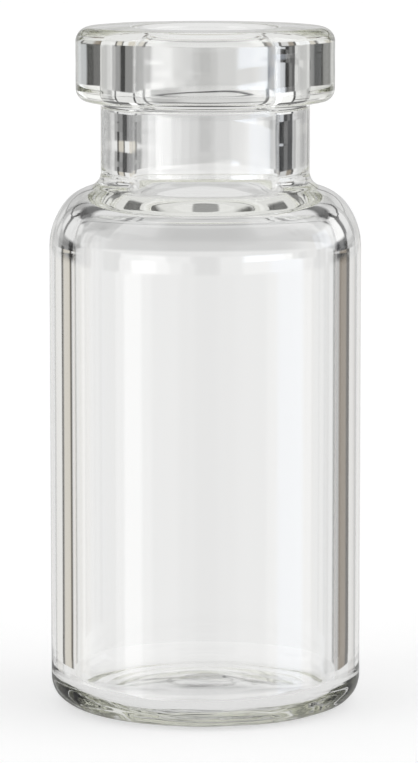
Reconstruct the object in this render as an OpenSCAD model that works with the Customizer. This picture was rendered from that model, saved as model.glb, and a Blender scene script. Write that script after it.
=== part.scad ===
// Small tubular glass vial: one piece of clear borosilicate glass tube, with a drawn-in
// neck, a rounded crimp flange round the mouth and a slightly pushed-up base.
// Millimetres, +Z up, origin at the centre of the ring that the vial stands on.

/* [Overall] */
// Height from the standing ring to the top of the flange
height = 35; // [30:0.5:60]
// Outer diameter of the body
body_d = 16; // [15:0.1:24]
// Wall thickness of the body and shoulder
wall = 1.2; // [0.8:0.05:1.5]

/* [Mouth] */
// Diameter of the bore through the flange
bore_d = 7.2; // [5:0.1:8.6]
// How much the bore widens on each side from the flange to the neck
bore_step = 0.2; // [0.05:0.05:0.4]
// Height over which it widens, level with the flange's underside
bore_step_h = 0.8; // [0.6:0.1:1.2]
// Outer diameter of the crimp flange
flange_d = 13.25; // [12:0.05:16]
// Height of the crimp flange
flange_h = 3.8; // [3:0.1:5]
// Outer diameter of the neck
neck_d = 10.7; // [9.4:0.1:11.5]
// Height of the neck, from the flange's underside to the shoulder
neck_h = 4.2; // [3:0.1:8]

/* [Shoulder] */
// Slope of the shoulder beside the neck, in degrees from level
shoulder_slope = 17.5; // [10:0.5:30]
// Width of that sloped ring, from the neck to the shoulder's bend
slope_w = 1.55; // [1:0.05:1.9]
// Lean of the shoulder above the body wall, in degrees from upright
shoulder_lean = 33; // [25:1:45]

/* [Base] */
// Thickness of the floor
floor_t = 0.8; // [0.6:0.05:1.6]
// Height of the pushed-up middle of the base above the standing ring
push_up = 0.5; // [0.1:0.05:0.7]
// Width across the crown of the pushed-up base, where its sloping sides meet it
crown_d = 3; // [1:0.1:8]
// Width of the flat ring that the vial stands on
ring_w = 1.3; // [0.6:0.1:2]

/* [Roundings] */
// Radius of the heel, between the standing ring and the body wall
heel_r = 1.5; // [0.5:0.1:2]
// Radius between the body wall and the shoulder
shoulder_r = 3.6; // [2:0.1:4]
// Radius at the shoulder's bend
bend_r = 2.5; // [1.8:0.1:3]
// Radius between the shoulder and the neck
neck_fillet = 0.85; // [0.3:0.05:1.2]
// Radius under the flange
flange_fillet = 0.25; // [0.1:0.05:0.6]
// Radius of the flange's lower edge
flange_low_r = 0.65; // [0.2:0.05:1]
// Radius of the flange's upper edge
flange_top_r = 0.75; // [0.2:0.05:1.2]
// Radius of the mouth's inner edge
lip_r = 0.35; // [0.1:0.05:0.8]
// Radius at both ends of the bore's widening
step_r = 1.5; // [0.4:0.1:2]
// Radius where the bore opens out under the shoulder
throat_r = 1.4; // [0.4:0.1:1.8]
// Radius between the inner wall and the floor
floor_r = 1.1; // [0.4:0.1:1.8]
// Radius at the inner edge of the standing ring
ring_edge_r = 0.8; // [0.2:0.1:1.5]
// Radius of the bend at the crown's edge, above and below the floor
crown_r = 15; // [2:0.5:20]

/* [Hidden] */
$fn = 96;

// Each rounding is drawn in steps of at most this angle
arc_step = 6;

body_r = body_d / 2;
neck_r = neck_d / 2;
bore_r = bore_d / 2;
throat_x = bore_r + bore_step;
flange_r = flange_d / 2;
crown_x = crown_d / 2;
ring_x = body_r - heel_r - ring_w;
inner_r = body_r - wall;

// Levels of the flange's underside and of the corner between neck and shoulder
flange_z = height - flange_h;
neck_z = flange_z - neck_h;

// Outer corners of the shoulder, before rounding
bend_x = neck_r + slope_w;
bend_z = neck_z - slope_w * tan(shoulder_slope);
wall_z = bend_z - (body_r - bend_x) / tan(shoulder_lean);

// The inner corners lie where the same faces would meet one wall thickness further in
function inner_slope_z(x) = neck_z - (x - neck_r) * tan(shoulder_slope) - wall / cos(shoulder_slope);
function inner_lean_z(x) = wall_z + (body_r - wall / cos(shoulder_lean) - x) / tan(shoulder_lean);
inner_bend_x = (inner_slope_z(0) - inner_lean_z(0)) / (tan(shoulder_slope) - 1 / tan(shoulder_lean));

// Corners of the half section, anticlockwise: [distance from the axis, height, rounding]
SECTION = [
    [0, push_up, 0],
    [crown_x, push_up, crown_r],
    [ring_x, 0, ring_edge_r],
    [body_r, 0, heel_r],
    [body_r, wall_z, shoulder_r],
    [bend_x, bend_z, bend_r],
    [neck_r, neck_z, neck_fillet],
    [neck_r, flange_z, flange_fillet],
    [flange_r, flange_z, flange_low_r],
    [flange_r, height, flange_top_r],
    [bore_r, height, lip_r],
    [bore_r, flange_z + bore_step_h / 2, step_r],
    [throat_x, flange_z - bore_step_h / 2, step_r],
    [throat_x, inner_slope_z(throat_x), throat_r],
    [inner_bend_x, inner_slope_z(inner_bend_x), bend_r - wall],
    [inner_r, inner_lean_z(inner_r), shoulder_r - wall],
    [inner_r, floor_t, floor_r],
    [crown_x, floor_t + push_up, crown_r],
    [0, floor_t + push_up, 0],
];

function flat(corner) = [corner[0], corner[1]];
function unit(v) = v / norm(v);
function turned(v, a) = [v[0] * cos(a) - v[1] * sin(a), v[0] * sin(a) + v[1] * cos(a)];

// Edge from corner i of outline c to the next one. Corners are counted round the outline.
function corner(c, i) = c[(i + len(c)) % len(c)];
function edge(c, i) = flat(corner(c, i + 1)) - flat(corner(c, i));

// Half the angle between a corner's edges, and how far its rounding reaches along them
function half_angle(c, i) = acos(-unit(edge(c, i)) * unit(edge(c, i - 1))) / 2;
function reach(c, i) = corner(c, i)[2] / tan(half_angle(c, i));

// Two roundings that would run into each other along an edge both give way
function room(c, i) = norm(edge(c, i)) / max(reach(c, i) + reach(c, i + 1), norm(edge(c, i)));
function radius(c, i) = corner(c, i)[2] * min(room(c, i - 1), room(c, i));

// A corner as its own point, or as the arc of its rounding, tangent to both edges
function corner_points(c, i) =
    let (p = flat(corner(c, i)), r = radius(c, i), half = half_angle(c, i))
    r == 0 ? [p] :
    let (
        back = -unit(edge(c, i - 1)),
        middle = p + r / sin(half) * unit(back + unit(edge(c, i))),
        start = p + r / tan(half) * back - middle,
        turn = (180 - 2 * half) * sign(cross(edge(c, i - 1), edge(c, i))),
        steps = ceil(abs(turn) / arc_step)
    )
    [for (k = [0 : steps]) middle + turned(start, turn * k / steps)];

function rounded(c) = [for (i = [0 : len(c) - 1]) each corner_points(c, i)];

// The whole vial is one revolved section of glass
module vial() {
    color([0.93, 0.95, 0.94, 0.35]) rotate_extrude() polygon(rounded(SECTION));
}

vial();
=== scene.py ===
"""A small clear glass vial standing on a pale floor in soft studio light.

The vial is one piece of borosilicate tube: a drawn-in neck, a rounded flange round the mouth
and a pushed-up base.  It is modelled as one closed skin of glass, so light bends in and out of
its wall as it does in the real thing.
"""
import math

import bmesh
import bpy
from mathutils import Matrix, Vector, noise


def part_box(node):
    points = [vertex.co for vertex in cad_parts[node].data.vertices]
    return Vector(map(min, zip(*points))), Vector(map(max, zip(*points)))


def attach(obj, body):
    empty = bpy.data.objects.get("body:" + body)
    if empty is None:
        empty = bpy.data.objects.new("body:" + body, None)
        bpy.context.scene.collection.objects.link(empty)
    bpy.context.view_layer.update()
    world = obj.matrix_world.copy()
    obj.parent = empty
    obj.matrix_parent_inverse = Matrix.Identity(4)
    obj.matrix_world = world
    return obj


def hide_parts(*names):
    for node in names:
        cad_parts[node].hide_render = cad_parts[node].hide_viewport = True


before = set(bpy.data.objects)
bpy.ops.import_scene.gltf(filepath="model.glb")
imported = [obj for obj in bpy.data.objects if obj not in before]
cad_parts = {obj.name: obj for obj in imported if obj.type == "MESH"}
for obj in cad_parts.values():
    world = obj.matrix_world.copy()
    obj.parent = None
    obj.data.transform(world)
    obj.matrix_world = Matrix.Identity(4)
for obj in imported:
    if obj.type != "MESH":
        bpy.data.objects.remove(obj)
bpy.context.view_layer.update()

MM = 0.001
AXIS = Vector((0, 0, 1))

# ---------------------------------------------------------------- sizes, in millimetres

low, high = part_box("vial")
HEIGHT = round(high.z / MM, 2)
BODY_R = round(high.x / MM, 1)
WALL = 1.2
BORE_R = 3.6
THROAT_X = 3.8
STEP_H = 0.8
FLANGE_R = 6.625
FLANGE_H = 3.8
NECK_R = 5.35
NECK_H = 4.2
SHOULDER_SLOPE = math.radians(17.5)
SLOPE_W = 1.55
SHOULDER_LEAN = math.radians(33)
FLOOR_T = 0.8
PUSH_UP = 0.5
CROWN_X = 1.5
RING_W = 1.3

# Radii of the roundings: outside from the base up, then inside from the mouth down
CROWN_R = 15
RING_EDGE_R = 0.8
HEEL_R = 1.5
SHOULDER_R = 3.6
BEND_R = 2.5
NECK_FILLET = 0.85
FLANGE_FILLET = 0.25
FLANGE_LOW_R = 0.65
FLANGE_TOP_R = 0.75
LIP_R = 0.35
STEP_R = 1.5
THROAT_R = 1.4
FLOOR_R = 1.1

# Each rounding is drawn in steps of at most this angle, and the whole turn in this many steps
ARC_STEP = math.radians(5)
ROUND_STEPS = 300
# Lengths that straight stretches are cut into: on the body, and where the glass was formed
WALL_STEP = 1
FORMED_STEP = 0.4

# The mouth, neck and shoulder were formed above the first height, and the base below the second.
# Their ripples fade in over a short height.
FORMED_ABOVE = 24.5
FORMED_BELOW = 3
RIPPLE_FADE = 2

# How far the surfaces waver, and over what length: on the drawn tube, whose waves are many times
# as long as they are wide, at the mouth and at the base
DRAWN_DEPTH = 0.006
DRAWN_WAVE = 3
DRAWN_STRETCH = 12
MOUTH_DEPTH = 0.011
MOUTH_WAVE = 0.9
BASE_DEPTH = 0.024
BASE_WAVE = 0.6
# The glass turns while it is formed, which draws its ripples out round the axis
TURNED_STRETCH = 4

# ---------------------------------------------------------------- glass


def outline():
    """Corners of the half section, anticlockwise: distance from the axis, height, rounding."""
    slope = math.tan(SHOULDER_SLOPE)
    lean = math.tan(SHOULDER_LEAN)
    ring_x = BODY_R - HEEL_R - RING_W
    inner_r = BODY_R - WALL
    flange_z = HEIGHT - FLANGE_H
    neck_z = flange_z - NECK_H
    bend_x = NECK_R + SLOPE_W
    bend_z = neck_z - SLOPE_W * slope
    wall_z = bend_z - (BODY_R - bend_x) / lean
    # the inner faces run one wall thickness inside the outer ones
    slope_z = neck_z + NECK_R * slope - WALL / math.cos(SHOULDER_SLOPE)
    lean_z = wall_z + (BODY_R - WALL / math.cos(SHOULDER_LEAN)) / lean
    inner_bend_x = (slope_z - lean_z) / (slope - 1 / lean)
    return [
        (0, PUSH_UP, 0),
        (CROWN_X, PUSH_UP, CROWN_R),
        (ring_x, 0, RING_EDGE_R),
        (BODY_R, 0, HEEL_R),
        (BODY_R, wall_z, SHOULDER_R),
        (bend_x, bend_z, BEND_R),
        (NECK_R, neck_z, NECK_FILLET),
        (NECK_R, flange_z, FLANGE_FILLET),
        (FLANGE_R, flange_z, FLANGE_LOW_R),
        (FLANGE_R, HEIGHT, FLANGE_TOP_R),
        (BORE_R, HEIGHT, LIP_R),
        (BORE_R, flange_z + STEP_H / 2, STEP_R),
        (THROAT_X, flange_z - STEP_H / 2, STEP_R),
        (THROAT_X, slope_z - THROAT_X * slope, THROAT_R),
        (inner_bend_x, slope_z - inner_bend_x * slope, BEND_R - WALL),
        (inner_r, lean_z - inner_r / lean, SHOULDER_R - WALL),
        (inner_r, FLOOR_T, FLOOR_R),
        (CROWN_X, FLOOR_T + PUSH_UP, CROWN_R),
        (0, FLOOR_T + PUSH_UP, 0),
    ]


def extend(bm, pen, place):
    """Draws a straight edge from the pen's vertex to a place, and returns the new end."""
    drawn = bmesh.ops.extrude_vert_indiv(bm, verts=[pen])
    end = drawn["verts"][0]
    end.co = place
    return end


def room_for_roundings(places, radii):
    """Radii cut down where two roundings would run into each other along an edge."""
    edges = [after - before for before, after in zip(places, places[1:])]
    reach = [0.0] * len(places)
    for i in range(1, len(edges)):
        reach[i] = radii[i] * math.tan(edges[i - 1].angle(edges[i]) / 2)
    room = []
    for i, edge in enumerate(edges):
        room.append(edge.length / max(reach[i] + reach[i + 1], edge.length))
    share = [1.0] + [min(pair) for pair in zip(room, room[1:])] + [1.0]
    return [radius * part for radius, part in zip(radii, share)]


def round_corner(bm, pen, before, corner, after, radius):
    """Draws up to a corner and round it, as an arc tangent to both its edges."""
    arriving = (corner - before).normalized()
    leaving = (after - corner).normalized()
    turn = arriving.angle(leaving)
    start = corner - arriving * radius * math.tan(turn / 2)
    inwards = (leaving - arriving).normalized()
    centre = corner + inwards * radius / math.cos(turn / 2)
    pen = extend(bm, pen, start)
    swing = arriving.cross(leaving).normalized()
    steps = max(3, math.ceil(turn / ARC_STEP))
    arc = bmesh.ops.spin(
        bm, geom=[pen], cent=centre, axis=swing, angle=turn, steps=steps, use_duplicate=False
    )
    return [v for v in arc["geom_last"] if isinstance(v, bmesh.types.BMVert)][0]


def waver(bm):
    """Lets the surfaces waver by up to hundredths of a millimetre, most where they were formed."""
    bm.normal_update()
    for v in bm.verts:
        drawn = Vector((v.co.x, v.co.y, v.co.z / DRAWN_STRETCH)) / (DRAWN_WAVE * MM)
        shift = DRAWN_DEPTH * noise.noise(drawn)
        radius = math.hypot(v.co.x, v.co.y)
        # x and y count differently, so that the sides are not mirror images
        ringed = Vector((radius, (v.co.x + v.co.y / 2) / TURNED_STRETCH, v.co.z)) / MM
        mouth = min(max((v.co.z / MM - FORMED_ABOVE) / RIPPLE_FADE, 0), 1)
        base = min(max((FORMED_BELOW - v.co.z / MM) / RIPPLE_FADE, 0), 1)
        shift += MOUTH_DEPTH * mouth * noise.noise(ringed / MOUTH_WAVE)
        shift += BASE_DEPTH * base * noise.noise(ringed / BASE_WAVE)
        v.co += v.normal * shift * MM


def blown_glass(name):
    """The vial's whole skin: its section drawn corner by corner, then spun round the axis."""
    bm = bmesh.new()
    corners = outline()
    places = [Vector((x * MM, 0, z * MM)) for x, z, _ in corners]
    radii = room_for_roundings(places, [radius * MM for _, _, radius in corners])
    pen = bm.verts.new(places[0])
    for i in range(1, len(places) - 1):
        pen = round_corner(bm, pen, places[i - 1], places[i], places[i + 1], radii[i])
    extend(bm, pen, places[-1])
    # straight stretches are cut up, so that they can waver
    for edge in bm.edges[:]:
        middle = (edge.verts[0].co.z + edge.verts[1].co.z) / 2 / MM
        step = WALL_STEP if FORMED_BELOW < middle < FORMED_ABOVE else FORMED_STEP
        cuts = int(edge.calc_length() / (step * MM))
        if cuts:
            bmesh.ops.subdivide_edges(bm, edges=[edge], cuts=cuts)
    bmesh.ops.spin(
        bm, geom=bm.verts[:] + bm.edges[:], cent=(0, 0, 0), axis=AXIS,
        angle=math.tau, steps=ROUND_STEPS, use_merge=True,
    )
    bmesh.ops.remove_doubles(bm, verts=bm.verts[:], dist=1e-7)
    bmesh.ops.recalc_face_normals(bm, faces=bm.faces[:])
    waver(bm)
    for face in bm.faces:
        face.smooth = True
    mesh = bpy.data.meshes.new(name)
    bm.to_mesh(mesh)
    bm.free()
    piece = bpy.data.objects.new(name, mesh)
    bpy.context.scene.collection.objects.link(piece)
    return piece


# ---------------------------------------------------------------- materials

# The board is pale grey and glows a little for the camera, so that it shows white
BOARD_COLOUR = "#c8c8c8"
BOARD_GLOW = 0.5
# Seen through glass it mostly glows this bright instead: painted light in place of the light that
# passes through the glass onto the board
PAINTED_GLOW_IN_GLASS = 0.9
PAINTED_GLOW_SHARE = 0.8


def linear(hex_colour):
    """An sRGB hex colour as linear values, with full alpha."""
    channels = [int(hex_colour[i : i + 2], 16) / 255 for i in (1, 3, 5)]
    return [c / 12.92 if c <= 0.04045 else ((c + 0.055) / 1.055) ** 2.4 for c in channels] + [1]


def add_node(tree, kind, settings=None, links=None):
    """Adds a node, sets its attributes and input values, and links its inputs to other outputs."""
    node = tree.nodes.new(kind)
    for key, value in (settings or {}).items():
        if isinstance(key, str) and hasattr(node, key):
            setattr(node, key, value)
        else:
            node.inputs[key].default_value = value
    for key, output in (links or {}).items():
        tree.links.new(output, node.inputs[key])
    return node


def new_material(name):
    """An empty node material, and its node tree."""
    material = bpy.data.materials.new(name)
    material.use_nodes = True
    material.node_tree.nodes.clear()
    return material, material.node_tree


def borosilicate():
    """Borosilicate glass, fire-polished: mirror smooth and water clear, warm grey where thick."""
    material, tree = new_material("borosilicate glass, fire-polished")
    glass = add_node(tree, "ShaderNodeBsdfPrincipled", {
        "Base Color": (1, 1, 1, 1),
        "Roughness": 0.0,
        "IOR": 1.49,
        "Transmission Weight": 1.0,
    })
    tint = add_node(tree, "ShaderNodeVolumeAbsorption", {
        "Color": linear("#f0f1e4"),
        "Density": 30.0,
    })
    add_node(tree, "ShaderNodeOutputMaterial", links={
        "Surface": glass.outputs["BSDF"],
        "Volume": tint.outputs["Volume"],
    })
    return material


def studio_floor():
    """Matt white board with the object's own soft shadow; where glass shows it, it mostly glows
    instead, painted light for the light that the glass lets through onto it.
    """
    material, tree = new_material("white board, matt")
    seen = add_node(tree, "ShaderNodeLightPath")
    board = add_node(tree, "ShaderNodeBsdfDiffuse", {"Color": linear(BOARD_COLOUR)})
    strength = add_node(
        tree, "ShaderNodeMath", {"operation": "MULTIPLY", 1: BOARD_GLOW},
        {0: seen.outputs["Is Camera Ray"]},
    )
    glow = add_node(
        tree, "ShaderNodeEmission", {"Color": (1, 1, 1, 1)}, {"Strength": strength.outputs[0]}
    )
    lit = add_node(tree, "ShaderNodeAddShader", links={0: board.outputs[0], 1: glow.outputs[0]})
    # painted light: a glow that glass shows in place of the light it passes onto the board
    painted_glow = add_node(tree, "ShaderNodeEmission", {"Strength": PAINTED_GLOW_IN_GLASS})
    share = add_node(
        tree, "ShaderNodeMath", {"operation": "MULTIPLY", 1: PAINTED_GLOW_SHARE},
        {0: seen.outputs["Is Transmission Ray"]},
    )
    both = add_node(
        tree, "ShaderNodeMixShader",
        links={0: share.outputs[0], 1: lit.outputs[0], 2: painted_glow.outputs[0]},
    )
    add_node(tree, "ShaderNodeOutputMaterial", links={"Surface": both.outputs[0]})
    return material


# ---------------------------------------------------------------- camera

# Focal length and sensor width, place from the vial's foot, and tilt and turn in degrees
LENS = 205.56
SENSOR = 36
CAMERA_PLACE = (0, -222.77, 46.07)
LOOKING_DOWN = 7.504
TURNED_RIGHT = 0.049


def aim_camera():
    """A long lens a little above the mouth, looking slightly down."""
    data = bpy.data.cameras.new("camera")
    data.lens = LENS
    data.sensor_width = SENSOR
    data.clip_start = 0.01
    data.clip_end = 20
    camera = bpy.data.objects.new("camera", data)
    camera.location = Vector(CAMERA_PLACE) * MM
    camera.rotation_euler = (math.radians(90 - LOOKING_DOWN), 0, math.radians(-TURNED_RIGHT))
    bpy.context.scene.collection.objects.link(camera)
    bpy.context.scene.camera = camera


# ---------------------------------------------------------------- studio

# The board near the vial shows through its base, and the rest reaches far past the view
NEAR_BOARD = 15
FAR_BOARD = 3000
# It lies clear of the ripples under the vial
BOARD_DROP = 0.02
BOARD_SIDES = 96

# Tints of the light
WHITE = (1, 1, 1)
WARM = (1.1, 1, 0.85)
AMBER = (1.18, 1, 0.8)
CREAM = (1.06, 1, 0.88)
COOL = (0.96, 0.99, 1.04)

# Areas of light a little above level: behind the vial, and at its sides and in front
BACKLIGHTS = [
    (60, 72, 0.8, WHITE),
    (72, 98, 0.65, WHITE),
    (98, 113, 0.45, WHITE),
    (113, 119, 0.8, WHITE),
]
SIDELIGHTS = [
    (10, 26, 1.7, COOL),
    (26, 54, 1.0, WHITE),
    (123, 160, 0.8, WHITE),
    (164, 242, 1.3, WHITE),
    (242, 286, 1.0, WHITE),
    (286, 370, 1.3, WHITE),
]

# The studio as the vial sees it, in bands from the floor up: the elevations between which a
# band is in full view, its plain brightness and tint, and the soft areas of light in it.  An area
# has the azimuths where it starts and ends, counted from +X towards +Y, brightness and tint.
BANDS = [
    ((-90, -40), 0.8, WHITE, []),
    ((-34, -16.5), 0.82, WHITE, [
        (3, 9, 0.1, WARM),
        (171, 177, 0.1, WARM),
    ]),
    ((-14, -5.6), 0.05, WARM, [
        (8, 23, 0.78, COOL),
        (28, 43, 0.6, WHITE),
        (43, 55, 0.22, AMBER),
        (61, 70, 0.9, WHITE),
        (70, 106, 0.78, WHITE),
        (106, 120, 0.86, WHITE),
        (124, 136, 0.57, CREAM),
        (139, 149, 0.85, WHITE),
        (149, 164, 0.6, CREAM),
        (164, 190, 1.45, WHITE),
        (190, 201, 1.36, WHITE),
        (201, 207.5, 1.75, WHITE),
        (207.5, 223, 2.3, WHITE),
        (223, 229, 1.85, WHITE),
        (229, 252, 1.55, WHITE),
        (252, 262, 1.35, WHITE),
        (262, 280, 1.18, WHITE),
        (280, 292, 1.35, WHITE),
        (292, 317, 1.5, WHITE),
        (317, 323, 1.8, WHITE),
        (323, 348, 2.1, COOL),
        (348, 355, 1.85, WHITE),
        (355, 368, 1.35, WHITE),
    ]),
    ((-5.1, -3.85), 0.02, WHITE, [
        (14, 25, 0.7, COOL),
        (36, 45, 0.13, WHITE),
        (57, 67, 0.5, WHITE),
        (67, 82, 0.74, WHITE),
        (82, 100, 0.6, WHITE),
        (100, 113, 0.74, WHITE),
        (113, 120, 0.35, WHITE),
        (126, 134, 0.28, WHITE),
        (144, 160, 0.25, WHITE),
        (160, 177, 0.6, WHITE),
        (177, 189, 1.5, WHITE),
        (189, 204, 0.5, WHITE),
        (204, 214, 1.9, WHITE),
        (214, 234, 2.8, WHITE),
        (234, 244, 2.2, WHITE),
        (244, 253, 1.75, WHITE),
        (253, 262, 1.3, WHITE),
        (262, 280, 0.3, WHITE),
        (280, 297, 1.5, WHITE),
        (297, 318, 2.0, WHITE),
        (318, 348, 2.25, COOL),
        (348, 357, 1.6, WHITE),
        (357, 374, 0.6, COOL),
    ]),
    ((-3.7, 1), 0.02, WHITE, [
        (14, 25, 0.8, COOL),
        (25, 35, 0.6, COOL),
        (43, 50, 0.12, WHITE),
        (57, 70, 0.65, WHITE),
        (70, 98, 0.56, WHITE),
        (98, 113, 0.68, WHITE),
        (113, 121, 0.4, WHITE),
        (121, 134, 0.22, WHITE),
        (144, 160, 0.25, WHITE),
        (160, 177, 0.6, WHITE),
        (177, 189, 1.5, WHITE),
        (189, 205, 0.5, WHITE),
        (205, 223, 2.0, WHITE),
        (223, 241, 2.35, WHITE),
        (241, 260, 1.6, WHITE),
        (260, 280, 0.3, WHITE),
        (280, 297, 1.55, WHITE),
        (297, 330, 2.95, COOL),
        (330, 337, 2.4, WHITE),
        (337, 343, 1.5, WHITE),
        (343, 349, 0.3, WHITE),
        (349, 360, 1.3, WHITE),
        (360, 374, 0.5, COOL),
    ]),
    ((4, 10.6), 0.06, WHITE, BACKLIGHTS + SIDELIGHTS),
    ((11.5, 12.5), 0.03, WHITE, SIDELIGHTS),
    ((13.4, 18), 0.06, WHITE, BACKLIGHTS + SIDELIGHTS),
    ((22, 28), 0.08, WHITE, [
        (146, 162, 1.2, WHITE),
        (190, 228, 1.3, WHITE),
        (228, 312, 0.8, WHITE),
        (312, 386, 1.4, WHITE),
    ]),
    ((33, 50), 0.75, WHITE, [
        (190, 228, 1.7, WHITE),
        (228, 312, 0.3, WHITE),
        (312, 370, 1.7, WHITE),
    ]),
    ((60, 90), 0.9, WHITE, []),
]
# How far the edge of an area fades, in degrees, and the share of an area that blends into the next
SOFT_EDGE = 2
BLEND = 0.15
# A direction is to the front or the side where its Y is below this share of its length
FRONT_FROM = 0.3
# The brightest that the lights to the front and the side look through the glass
THROUGH_GLASS = 0.8


def board(name, radius_from, radius_to):
    """A ring or disc of the floor, in millimetres."""
    bm = bmesh.new()
    whole = radius_from == 0
    bmesh.ops.create_circle(bm, radius=radius_to * MM, segments=BOARD_SIDES, cap_ends=whole)
    if not whole:
        bmesh.ops.create_circle(bm, radius=radius_from * MM, segments=BOARD_SIDES)
        bmesh.ops.bridge_loops(bm, edges=bm.edges[:])
    bmesh.ops.recalc_face_normals(bm, faces=bm.faces[:])
    mesh = bpy.data.meshes.new(name)
    bm.to_mesh(mesh)
    bm.free()
    floor = bpy.data.objects.new(name, mesh)
    floor.location.z = -BOARD_DROP * MM
    bpy.context.scene.collection.objects.link(floor)
    return floor


def tinted(strength, tint):
    """A light's colour, at its strength."""
    return tuple(strength * channel for channel in tint) + (1,)


def band_of_light(tree, around, plain, areas):
    """One band's colour by azimuth, given as turns from 0 to 1."""
    starts = [area[0] % 360 for area in areas]
    ends = [area[1] % 360 for area in areas]
    stops = []
    for start, end, strength, tint in areas:
        light = tinted(strength, tint)
        fade_in = fade_out = SOFT_EDGE / 2
        if start % 360 in ends:
            fade_in = BLEND * (end - start)
        else:
            stops.append((start - fade_in, plain))
        if end % 360 in starts:
            fade_out = BLEND * (end - start)
        else:
            stops.append((end + fade_out, plain))
        stops += [(start + fade_in, light), (end - fade_out, light)]
    stops = sorted((angle % 360 / 360, colour) for angle, colour in stops)
    if not stops:
        stops = [(0, plain), (1, plain)]
    # a ramp holds 32 stops, so each half turn has one of its own
    half = sum(place < 0.5 for place, _ in stops)
    ramps = []
    for chosen in (stops[: half + 1], stops[half - 1 :]):
        node = add_node(tree, "ShaderNodeValToRGB", links={0: around})
        ramp = node.color_ramp
        ramp.interpolation = "EASE"
        for element, (place, colour) in zip(ramp.elements, (chosen[0], chosen[-1])):
            element.position = place
            element.color = colour
        for place, colour in chosen[1:-1]:
            ramp.elements.new(place).color = colour
        ramps.append(node.outputs[0])
    in_front = add_node(
        tree, "ShaderNodeMath", {"operation": "GREATER_THAN", 1: 0.5}, {0: around}
    )
    band = add_node(
        tree, "ShaderNodeMix", {"data_type": "RGBA"},
        {0: in_front.outputs[0], 6: ramps[0], 7: ramps[1]},
    )
    return band.outputs[2]


def all_bands(tree, direction):
    """The bands one above the other, each fading into the next."""
    angle = add_node(
        tree, "ShaderNodeMath", {"operation": "ARCTAN2"},
        {0: direction.outputs["Y"], 1: direction.outputs["X"]},
    )
    turns = add_node(
        tree, "ShaderNodeMath", {"operation": "DIVIDE", 1: math.tau}, {0: angle.outputs[0]}
    )
    around = add_node(
        tree, "ShaderNodeMath", {"operation": "WRAP", 1: 1, 2: 0}, {0: turns.outputs[0]}
    ).outputs[0]
    elevation = add_node(
        tree, "ShaderNodeMath", {"operation": "ARCSINE"}, {0: direction.outputs["Z"]}
    )
    studio = None
    for (bottom, top), strength, tint, areas in BANDS:
        band = band_of_light(tree, around, tinted(strength, tint), areas)
        if studio is None:
            studio = band
        else:
            share = add_node(tree, "ShaderNodeMapRange", {
                "interpolation_type": "SMOOTHSTEP",
                "From Min": math.radians(top_below),
                "From Max": math.radians(bottom),
            }, {"Value": elevation.outputs[0]})
            studio = add_node(
                tree, "ShaderNodeMix", {"data_type": "RGBA"},
                {0: share.outputs[0], 6: studio, 7: band},
            ).outputs[2]
        top_below = top
    return studio


def light_world():
    """Lights the studio: soft areas of light in a dim room, and plain white for the camera."""
    world = bpy.data.worlds.new("studio")
    bpy.context.scene.world = world
    world.use_nodes = True
    tree = world.node_tree
    tree.nodes.clear()
    way = add_node(tree, "ShaderNodeTexCoord")
    direction = add_node(tree, "ShaderNodeSeparateXYZ", links={0: way.outputs["Generated"]})
    studio = all_bands(tree, direction)
    # The lights to the front and the side are strong only where the glass mirrors them: through
    # the glass they look as plain as the lights behind
    seen = add_node(tree, "ShaderNodeLightPath")
    in_front = add_node(
        tree, "ShaderNodeMath", {"operation": "LESS_THAN", 1: FRONT_FROM},
        {0: direction.outputs["Y"]},
    )
    mirror = add_node(
        tree, "ShaderNodeMath", {"operation": "MULTIPLY"},
        {0: seen.outputs["Is Reflection Ray"], 1: seen.outputs["Is Singular Ray"]},
    )
    mirrored = add_node(
        tree, "ShaderNodeMath", {"operation": "MULTIPLY"},
        {0: mirror.outputs[0], 1: in_front.outputs[0]},
    )
    through = add_node(
        tree, "ShaderNodeMath", {"operation": "MULTIPLY"},
        {0: seen.outputs["Is Transmission Ray"], 1: in_front.outputs[0]},
    )
    # what is brighter than 1 is multiplied by itself where it is mirrored
    gain = add_node(tree, "ShaderNodeMix", {
        "data_type": "RGBA", "blend_type": "LIGHTEN", 0: 1, 7: (1, 1, 1, 1),
    }, {6: studio})
    strong = add_node(
        tree, "ShaderNodeMix", {"data_type": "RGBA", "blend_type": "MULTIPLY"},
        {0: mirrored.outputs[0], 6: studio, 7: gain.outputs[2]},
    )
    dimmed = add_node(tree, "ShaderNodeMix", {
        "data_type": "RGBA", "blend_type": "DARKEN", 7: tinted(THROUGH_GLASS, WHITE),
    }, {0: through.outputs[0], 6: strong.outputs[2]})
    shown = add_node(
        tree, "ShaderNodeMix", {"data_type": "RGBA", 7: (1, 1, 1, 1)},
        {0: seen.outputs["Is Camera Ray"], 6: dimmed.outputs[2]},
    )
    glow = add_node(
        tree, "ShaderNodeBackground", {"Strength": 1.0}, {"Color": shown.outputs[2]}
    )
    add_node(tree, "ShaderNodeOutputWorld", links={"Surface": glow.outputs[0]})


# ---------------------------------------------------------------- making

aim_camera()
vial = blown_glass("vial_glass")
vial.data.materials.append(borosilicate())
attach(vial, "root")
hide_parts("vial")
near = board("floor_near", 0, NEAR_BOARD)
far = board("floor_far", NEAR_BOARD, FAR_BOARD)
# the glass sees the studio's own light in place of the far board
far.visible_transmission = False
far.visible_glossy = False
for floor in (near, far):
    floor.data.materials.append(studio_floor())
light_world()

scene = bpy.context.scene
scene.view_settings.view_transform = "Standard"
# light turns many corners inside thick glass before it leaves
scene.cycles.max_bounces = 32
scene.cycles.transmission_bounces = 32
scene.cycles.glossy_bounces = 32
